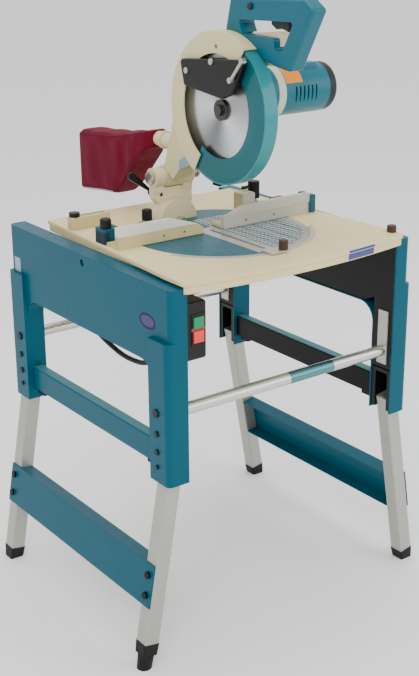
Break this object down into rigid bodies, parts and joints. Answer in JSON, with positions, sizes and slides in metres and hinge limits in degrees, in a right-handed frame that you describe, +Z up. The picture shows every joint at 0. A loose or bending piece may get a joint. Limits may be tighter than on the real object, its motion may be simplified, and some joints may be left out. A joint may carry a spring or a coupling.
{
  "type": "flip-over mitre saw on stand",
  "caption": "Mitre saw with raised blade head, dust bag and fences on a flip-over table, carried by a pressed steel stand with fold-in splayed legs",
  "frame": {"origin": "centre of the stand's footprint on the floor, midway between the side frames and between the front and rear columns", "axes": "+X to the operator's right along the fence, +Y away from the operator towards the dust bag, +Z up"},
  "size_m": [0.721, 0.7318, 1.2219],
  "materials": {
    "frame_paint": "satin teal enamel",
    "crossbar_paint": "satin teal enamel",
    "liner_black": "fine grained",
    "rail_steel": "satin plated",
    "bush_nylon": "smooth",
    "bracket_black": "satin black",
    "bright_steel": "bright zinc",
    "lock_bar_alloy": "satin",
    "bolt_black": "blackened",
    "rubber_black": "matt",
    "switch_black": "fine grained",
    "cable_black": "matt",
    "start_green": "gloss",
    "stop_red": "gloss",
    "leg_alloy": "satin anodised",
    "panel_paint": "satin teal enamel",
    "foot_rubber": "matt",
    "table_cast": "cream painted casting",
    "scale_alloy": "satin",
    "fence_cast": "satin casting",
    "fence_bright": "machined",
    "cap_teal": "satin",
    "casting_olive": "painted casting",
    "knob_black": "satin",
    "knob_brown": "satin",
    "turn_cast": "painted and machined casting",
    "insert_alloy": "brushed",
    "arm_cream": "cream painted casting",
    "fitting_steel": "plated",
    "case_cream": "cream painted casting",
    "cover_black": "satin",
    "motor_teal": "semi-gloss",
    "bracket_cream": "satin",
    "handle_teal": "semi-gloss",
    "nozzle_cream": "satin",
    "bag_maroon": "woven",
    "blade_steel": "ground",
    "guard_teal": "translucent"
  },
  "bodies": {
    "stand": {"left_side_frame": "frame_paint", "right_side_frame": "frame_paint", "crossbars": "crossbar_paint", "inner_covers": "liner_black", "rails": "rail_steel", "pivot_bushes": "bush_nylon", "leg_brackets": "bracket_black", "leg_pins": "bright_steel", "lock_bars": "lock_bar_alloy", "frame_bolts": "bolt_black", "crossbar_bumpers": "rubber_black", "switch_housing": "switch_black", "switch_cable": "cable_black"},
    "start_button": {"start_button": "start_green"},
    "stop_button": {"stop_button": "stop_red"},
    "left_legs": {"left_leg_tubes": "leg_alloy", "left_leg_panel": "panel_paint", "left_leg_feet": "foot_rubber"},
    "right_legs": {"right_leg_tubes": "leg_alloy", "right_leg_panel": "panel_paint", "right_leg_feet": "foot_rubber"},
    "adjustable_foot": {"adjustable_foot": "foot_rubber"},
    "table": {"table_casting": "table_cast", "table_trunnions": "bright_steel", "mitre_scale": "scale_alloy", "fence_rails": "fence_cast", "right_fence_face": "fence_bright", "fence_end_cap": "cap_teal", "rear_castings": "casting_olive", "table_knobs": "knob_black"},
    "table_latch": {"table_latch": "knob_brown"},
    "left_fence": {"left_fence_face": "fence_bright"},
    "left_fence_knob": {"left_fence_knob": "knob_black"},
    "right_fence_knob": {"right_fence_knob": "knob_black"},
    "turntable": {"turntable": "turn_cast", "kerf_insert": "insert_alloy", "mitre_pointer": "scale_alloy", "bevel_pin": "bright_steel"},
    "mitre_lock": {"mitre_lock_knob": "knob_brown"},
    "bevel_arm": {"bevel_arm": "arm_cream", "bevel_bar": "bright_steel", "hinge_pin": "bright_steel", "return_spring": "fitting_steel"},
    "bevel_lever": {"bevel_lever": "knob_black"},
    "head": {"saw_arm": "arm_cream", "blade_case": "case_cream", "blade_cover": "cover_black", "head_fittings": "fitting_steel", "gear_housing": "motor_teal", "motor_housing": "motor_teal", "motor_cap": "cover_black", "handle_bracket": "bracket_cream", "handle": "handle_teal", "dust_nozzle": "nozzle_cream", "dust_bag": "bag_maroon"},
    "trigger": {"trigger": "cover_black"},
    "lock_off_button": {"lock_off_button": "cover_black"},
    "blade": {"saw_blade": "blade_steel", "arbor": "bright_steel"},
    "lower_guard": {"lower_guard": "guard_teal"}
  },
  "joints": [
    {"name": "left_legs_fold", "type": "hinge", "parent": "stand", "child": "left_legs", "pos_m": [-0.26854, 0, 0.437], "axis": [0, -1, 0], "range_deg": [0, 100]},
    {"name": "right_legs_fold", "type": "hinge", "parent": "stand", "child": "right_legs", "pos_m": [0.27594, 0, 0.395], "axis": [0, 1, 0], "range_deg": [0, 100]},
    {"name": "foot_adjust", "type": "slide", "parent": "left_legs", "child": "adjustable_foot", "axis": [-0.1736, 0, -0.9848], "range_m": [0, 0.01]},
    {"name": "table_flip", "type": "hinge", "parent": "stand", "child": "table", "pos_m": [0, 0, 0.735], "axis": [-1, 0, 0], "range_deg": [0, 30]},
    {"name": "table_latch_turn", "type": "hinge", "parent": "table", "child": "table_latch", "pos_m": [0.255, -0.274, 0.764], "axis": [0, 0, 1], "range_deg": [0, 90]},
    {"name": "left_fence_slide", "type": "slide", "parent": "table", "child": "left_fence", "axis": [-1, 0, 0], "range_m": [0, 0.03]},
    {"name": "left_fence_clamp", "type": "hinge", "parent": "table", "child": "left_fence_knob", "pos_m": [-0.159, -0.028, 0.8], "axis": [0, 0, 1], "range_deg": [-90, 90]},
    {"name": "right_fence_clamp", "type": "hinge", "parent": "table", "child": "right_fence_knob", "pos_m": [0.106, -0.024, 0.8], "axis": [0, 0, 1], "range_deg": [-60, 60]},
    {"name": "mitre", "type": "hinge", "parent": "table", "child": "turntable", "pos_m": [-0.012, -0.062, 0.764], "axis": [0, 0, -1], "range_deg": [-45, 45]},
    {"name": "mitre_lock", "type": "hinge", "parent": "turntable", "child": "mitre_lock", "pos_m": [-0.006, -0.254, 0.769], "axis": [0, 0, 1], "range_deg": [-90, 90]},
    {"name": "bevel", "type": "hinge", "parent": "turntable", "child": "bevel_arm", "pos_m": [-0.02, 0.08, 0.764], "axis": [0, -1, 0], "range_deg": [0, 45]},
    {"name": "bevel_clamp", "type": "hinge", "parent": "bevel_arm", "child": "bevel_lever", "pos_m": [-0.044, 0.108, 0.814], "axis": [0, 1, 0], "range_deg": [0, 35]},
    {"name": "chop", "type": "hinge", "parent": "bevel_arm", "child": "head", "pos_m": [-0.02, 0.098, 0.85], "axis": [1, 0, 0], "range_deg": [0, 32], "stiffness_Nm_per_rad": 20, "springref_deg": -80.21},
    {"name": "blade_spin", "type": "hinge", "parent": "head", "child": "blade", "pos_m": [-0.02, -0.087, 1.008], "axis": [1, 0, 0], "continuous": true},
    {"name": "guard_swing", "type": "hinge", "parent": "head", "child": "lower_guard", "pos_m": [-0.02, -0.087, 1.008], "axis": [-1, 0, 0], "range_deg": [0, 116]},
    {"name": "trigger_pull", "type": "hinge", "parent": "head", "child": "trigger", "pos_m": [0.01, -0.208, 1.186], "axis": [-1, 0, 0], "range_deg": [0, 8], "stiffness_Nm_per_rad": 0.5, "springref_deg": -8.59},
    {"name": "lock_off_press", "type": "slide", "parent": "head", "child": "lock_off_button", "axis": [1, 0, 0], "range_m": [0, 0.003], "stiffness_N_per_m": 300, "springref_m": -0.002},
    {"name": "start_press", "type": "slide", "parent": "stand", "child": "start_button", "axis": [0, 1, 0], "range_m": [0, 0.0025], "stiffness_N_per_m": 400, "springref_m": -0.002},
    {"name": "stop_press", "type": "slide", "parent": "stand", "child": "stop_button", "axis": [0, 1, 0], "range_m": [0, 0.0025], "stiffness_N_per_m": 400, "springref_m": -0.002}
  ],
  "couplings": [
    {"joint": "guard_swing", "follows": "chop", "ratio": 3.6}
  ]
}
